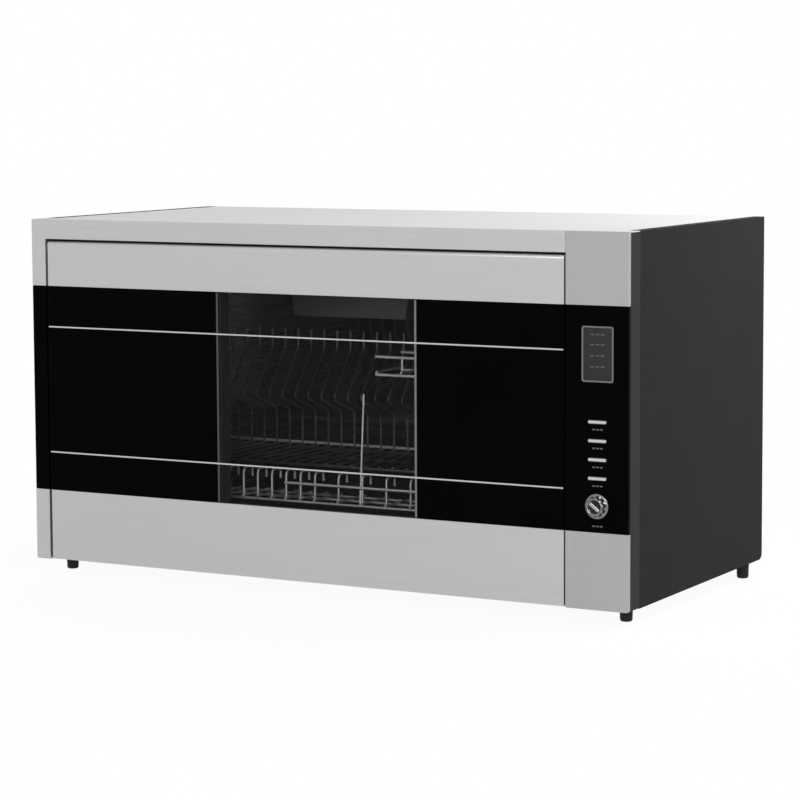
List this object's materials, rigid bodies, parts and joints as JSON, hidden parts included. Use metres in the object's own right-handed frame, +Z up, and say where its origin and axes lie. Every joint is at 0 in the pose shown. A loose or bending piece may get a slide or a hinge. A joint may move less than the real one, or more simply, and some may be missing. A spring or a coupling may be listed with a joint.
{
  "type": "dish dryer",
  "caption": "Wide counter-top dish dryer: dark cabinet, lift-up glazed door, brushed steel trims, wire plate and cup racks, hot-air blower, and a control column with display, buttons and knob.",
  "frame": {"origin": "on the floor under the middle of the cabinet", "axes": "+Z up, the door and controls face -Y, +X to the right seen from the front"},
  "size_m": [0.8, 0.4185, 0.438],
  "materials": {
    "steel_trim": "brushed satin steel with a horizontal grain",
    "cabinet_paint": "matte dark grey powder coat",
    "plated_sheet": "satin grey sheet",
    "liner_steel": "satin stainless sheet",
    "frame_black": "matte black moulding",
    "black_glass": "gloss black printed glass",
    "door_glass": "gloss glass, printed black round a tinted window",
    "clear_glass": "clear glass",
    "pale_plastic": "satin light grey moulding",
    "bright_metal": "bright plated metal",
    "chrome_plastic": "bright plated plastic",
    "rack_wire": "bright stainless wire",
    "rubber": "matte black rubber",
    "bezel_grey": "satin grey moulding",
    "display_black": "gloss black display face",
    "board": "green circuit board",
    "component_black": "matte black moulding",
    "motor_metal": "plain metal",
    "heater_block": "bare finned block",
    "duct_plastic": "grey heat-proof moulding",
    "zinc": "zinc plated steel",
    "bush_plastic": "pale bearing plastic"
  },
  "bodies": {
    "cabinet": {"left_side_panel": "cabinet_paint", "right_side_panel": "cabinet_paint", "top_panel": "plated_sheet", "bottom_panel": "cabinet_paint", "back_panel": "cabinet_paint", "back_panel_screws": "zinc", "cord_gland": "rubber", "feet": "rubber", "foot_screws": "zinc", "front_frame": "liner_steel", "left_stile_frame": "frame_black", "top_rail_frame": "frame_black", "control_column_frame": "frame_black", "top_rail_trim": "steel_trim", "left_stile_lower_trim": "steel_trim", "left_stile_glass": "black_glass", "column_upper_trim": "steel_trim", "column_lower_trim": "steel_trim", "control_glass": "black_glass", "display_bezel": "bezel_grey", "display_module": "display_black", "control_board": "board", "button_switches": "component_black", "encoder": "component_black", "hinge_pins": "zinc", "liner_floor": "liner_steel", "liner_ceiling": "liner_steel", "liner_left_wall": "liner_steel", "liner_right_wall": "liner_steel", "liner_back_wall": "liner_steel", "drip_tray": "liner_steel", "rack_brackets": "liner_steel", "plate_rack_base": "rack_wire", "plate_dividers": "rack_wire", "cup_rack_base": "rack_wire", "cup_rack_uprights": "rack_wire", "hanging_shelf": "rack_wire", "ozone_cover": "liner_steel", "ozone_generator": "component_black", "blower_housing": "duct_plastic", "blower_motor": "motor_metal", "heater": "heater_block", "air_duct": "duct_plastic", "power_board": "board"},
    "door": {"door_tray": "frame_black", "door_upper_trim": "steel_trim", "door_lower_trim": "steel_trim", "door_glass": "door_glass", "window_sleeve": "pale_plastic", "inner_pane": "clear_glass", "door_gasket": "rubber", "glass_strips": "bright_metal", "hinge_bushes": "bush_plastic"},
    "button_1": {"button_1": "chrome_plastic"},
    "button_2": {"button_2": "chrome_plastic"},
    "button_3": {"button_3": "chrome_plastic"},
    "button_4": {"button_4": "chrome_plastic"},
    "knob": {"knob": "chrome_plastic"},
    "blower_wheel": {"blower_wheel": "component_black"}
  },
  "joints": [
    {"name": "door_hinge", "type": "hinge", "parent": "cabinet", "child": "door", "pos_m": [0, -0.191, 0.4019], "axis": [-1, 0, 0], "range_deg": [0, 85]},
    {"name": "button_1_press", "type": "slide", "parent": "cabinet", "child": "button_1", "axis": [0, 1, 0], "range_m": [0, 0.0012], "stiffness_N_per_m": 900},
    {"name": "button_2_press", "type": "slide", "parent": "cabinet", "child": "button_2", "axis": [0, 1, 0], "range_m": [0, 0.0012], "stiffness_N_per_m": 900},
    {"name": "button_3_press", "type": "slide", "parent": "cabinet", "child": "button_3", "axis": [0, 1, 0], "range_m": [0, 0.0012], "stiffness_N_per_m": 900},
    {"name": "button_4_press", "type": "slide", "parent": "cabinet", "child": "button_4", "axis": [0, 1, 0], "range_m": [0, 0.0012], "stiffness_N_per_m": 900},
    {"name": "knob_turn", "type": "hinge", "parent": "cabinet", "child": "knob", "pos_m": [0.3625, -0.2, 0.1345], "axis": [0, -1, 0], "continuous": true},
    {"name": "blower_spin", "type": "hinge", "parent": "cabinet", "child": "blower_wheel", "pos_m": [0.3294, 0.082, 0.146], "axis": [1, 0, 0], "continuous": true}
  ]
}
